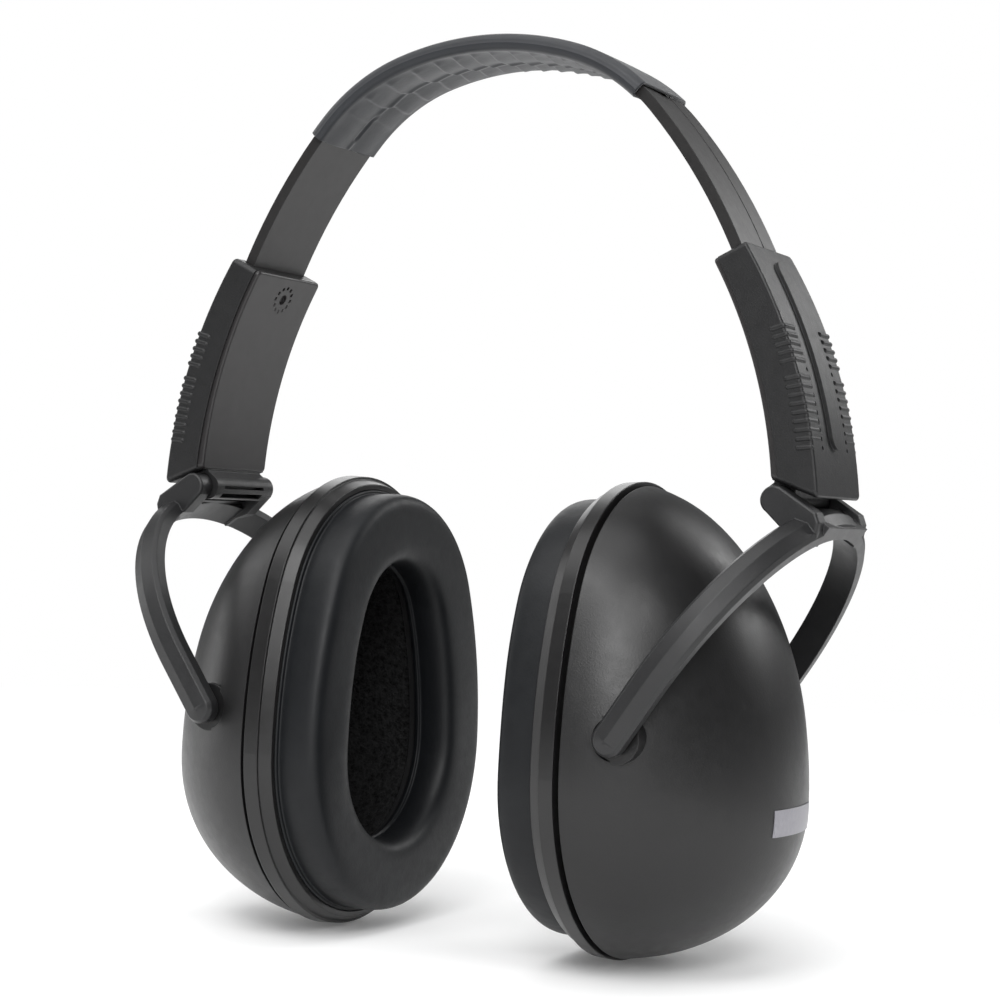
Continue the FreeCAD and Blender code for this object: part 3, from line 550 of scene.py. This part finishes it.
# Each soft box's place, its size and its power in watts; all of them face AIM.
SOFT_BOXES = {
    "front_top": ((0.0, -0.70, 0.75), (0.6, 0.5), 5.4),
    "camera": ((0.42, -0.85, 0.30), (0.35, 0.5), 5.2),
    "camera_top": ((0.75, -0.65, 0.75), (0.4, 0.4), 3.0),
    "top": ((0.0, 0.0, 1.0), (0.9, 0.9), 5.0),
    "left_top": ((-0.6, -0.3, 0.75), (0.5, 0.6), 1.8),
    "left": ((-1.1, -0.1, 0.2), (0.6, 0.9), 2.9),
    "left_back": ((-0.7, 1.0, 0.6), (0.7, 0.9), 4.0),
    "right_back": ((0.60, 1.0, 0.42), (0.5, 0.35), 3.0),
    "right_back_top": ((0.50, 0.95, 0.80), (0.6, 0.6), 2.0),
}
CAMERA_LOCATION = (0.23451, -0.44426, -0.10291)
CAMERA_AZIMUTH, CAMERA_ELEVATION, CAMERA_ROLL = 27.69, -0.63, 1.81
CAMERA_LENS, CAMERA_SENSOR = 80.5, 36.0


def build_world():
    """Even dim light from all round; the camera sees a pale surround."""
    world = bpy.data.worlds.new("studio")
    bpy.context.scene.world = world
    world.use_nodes = True
    nodes, links = world.node_tree.nodes, world.node_tree.links
    nodes.clear()
    out = nodes.new("ShaderNodeOutputWorld")
    seen, light = nodes.new("ShaderNodeBackground"), nodes.new("ShaderNodeBackground")
    seen.inputs["Color"].default_value = (1, 1, 1, 1)
    seen.inputs["Strength"].default_value = SURROUND
    light.inputs["Color"].default_value = (0.98, 0.99, 1.0, 1)
    light.inputs["Strength"].default_value = WORLD_LIGHT
    path, mix = nodes.new("ShaderNodeLightPath"), nodes.new("ShaderNodeMixShader")
    links.new(path.outputs["Is Camera Ray"], mix.inputs["Fac"])
    links.new(light.outputs["Background"], mix.inputs[1])
    links.new(seen.outputs["Background"], mix.inputs[2])
    links.new(mix.outputs["Shader"], out.inputs["Surface"])


def add_soft_box(name, location, size, power):
    data = bpy.data.lights.new(name, "AREA")
    data.shape = "RECTANGLE"
    data.size, data.size_y = size
    data.energy = power
    lamp = bpy.data.objects.new(name, data)
    bpy.context.scene.collection.objects.link(lamp)
    lamp.location = location
    lamp.rotation_mode = "QUATERNION"
    lamp.rotation_quaternion = (AIM - Vector(location)).to_track_quat("-Z", "Y")


def floor_paper():
    """Pale paper that turns into an even glow far from the object, so that no horizon shows."""
    n = Nodes("floor_paper")
    fibres = n.noise(1.5, 4.0, 0.6)
    colour = n.blend_colours(n.spread(fibres, 0, 1), (0.92, 0.92, 0.92), (0.94, 0.94, 0.94))
    n.finish(colour, n.spread(fibres, 0.85, 0.95), n.bump(fibres, 0.01))
    n.shader.inputs["Emission Color"].default_value = (1, 1, 1, 1)
    n.shader.inputs["Emission Strength"].default_value = FLOOR_GLOW
    distance = n.tree.nodes.new("ShaderNodeVectorMath")
    distance.operation = "LENGTH"
    n.link(n.coords, distance.inputs[0])
    glow, mix = n.tree.nodes.new("ShaderNodeEmission"), n.tree.nodes.new("ShaderNodeMixShader")
    glow.inputs["Strength"].default_value = SURROUND
    seen = n.tree.nodes.new("ShaderNodeLightPath").outputs["Is Camera Ray"]
    far = n.spread(distance.outputs["Value"], 0, 1, NEAR_FLOOR, FAR_FLOOR)
    n.link(n.math("MULTIPLY", far, seen), mix.inputs["Fac"])
    n.link(n.shader.outputs["BSDF"], mix.inputs[1])
    n.link(glow.outputs["Emission"], mix.inputs[2])
    n.link(mix.outputs["Shader"], n.output.inputs["Surface"])
    return n.material


def build_stage():
    """Pale floor under the cups, soft boxes and the world."""
    half, z = FLOOR_HALF_SIZE, cad_lo.z - FLOOR_GAP
    corners = [(-half, -half, z), (half, -half, z), (half, half, z), (-half, half, z)]
    mesh = bpy.data.meshes.new("floor")
    mesh.from_pydata(corners, [], [(0, 1, 2, 3)])
    mesh.materials.append(floor_paper())
    floor = bpy.data.objects.new("floor", mesh)
    bpy.context.scene.collection.objects.link(floor)
    build_world()
    for name, (location, size, power) in SOFT_BOXES.items():
        add_soft_box(name, location, size, power)


def build_camera():
    """Camera turned by azimuth from looking along +Y, then by elevation, then rolled about its axis."""
    a, e, r = [math.radians(v) for v in (CAMERA_AZIMUTH, CAMERA_ELEVATION, CAMERA_ROLL)]
    back = Vector((math.sin(a) * math.cos(e), -math.cos(a) * math.cos(e), math.sin(e)))
    level = Vector((math.cos(a), math.sin(a), 0.0))
    upright = back.cross(level)
    right = level * math.cos(r) + upright * math.sin(r)
    up = upright * math.cos(r) - level * math.sin(r)
    data = bpy.data.cameras.new("camera")
    data.lens, data.sensor_width = CAMERA_LENS, CAMERA_SENSOR
    data.clip_start, data.clip_end = 0.01, 20.0
    camera = bpy.data.objects.new("camera", data)
    bpy.context.scene.collection.objects.link(camera)
    turn = Matrix((right, up, back)).transposed().to_4x4()
    camera.matrix_world = Matrix.Translation(CAMERA_LOCATION) @ turn
    bpy.context.scene.camera = camera


bpy.context.scene.view_settings.view_transform = "Standard"
paint_cad_nodes()
build_sleeve()
for side_name in SIDES:
    build_cushion(side_name)
    build_liner(side_name)
build_stage()
build_camera()

bpy.context.view_layer.update()
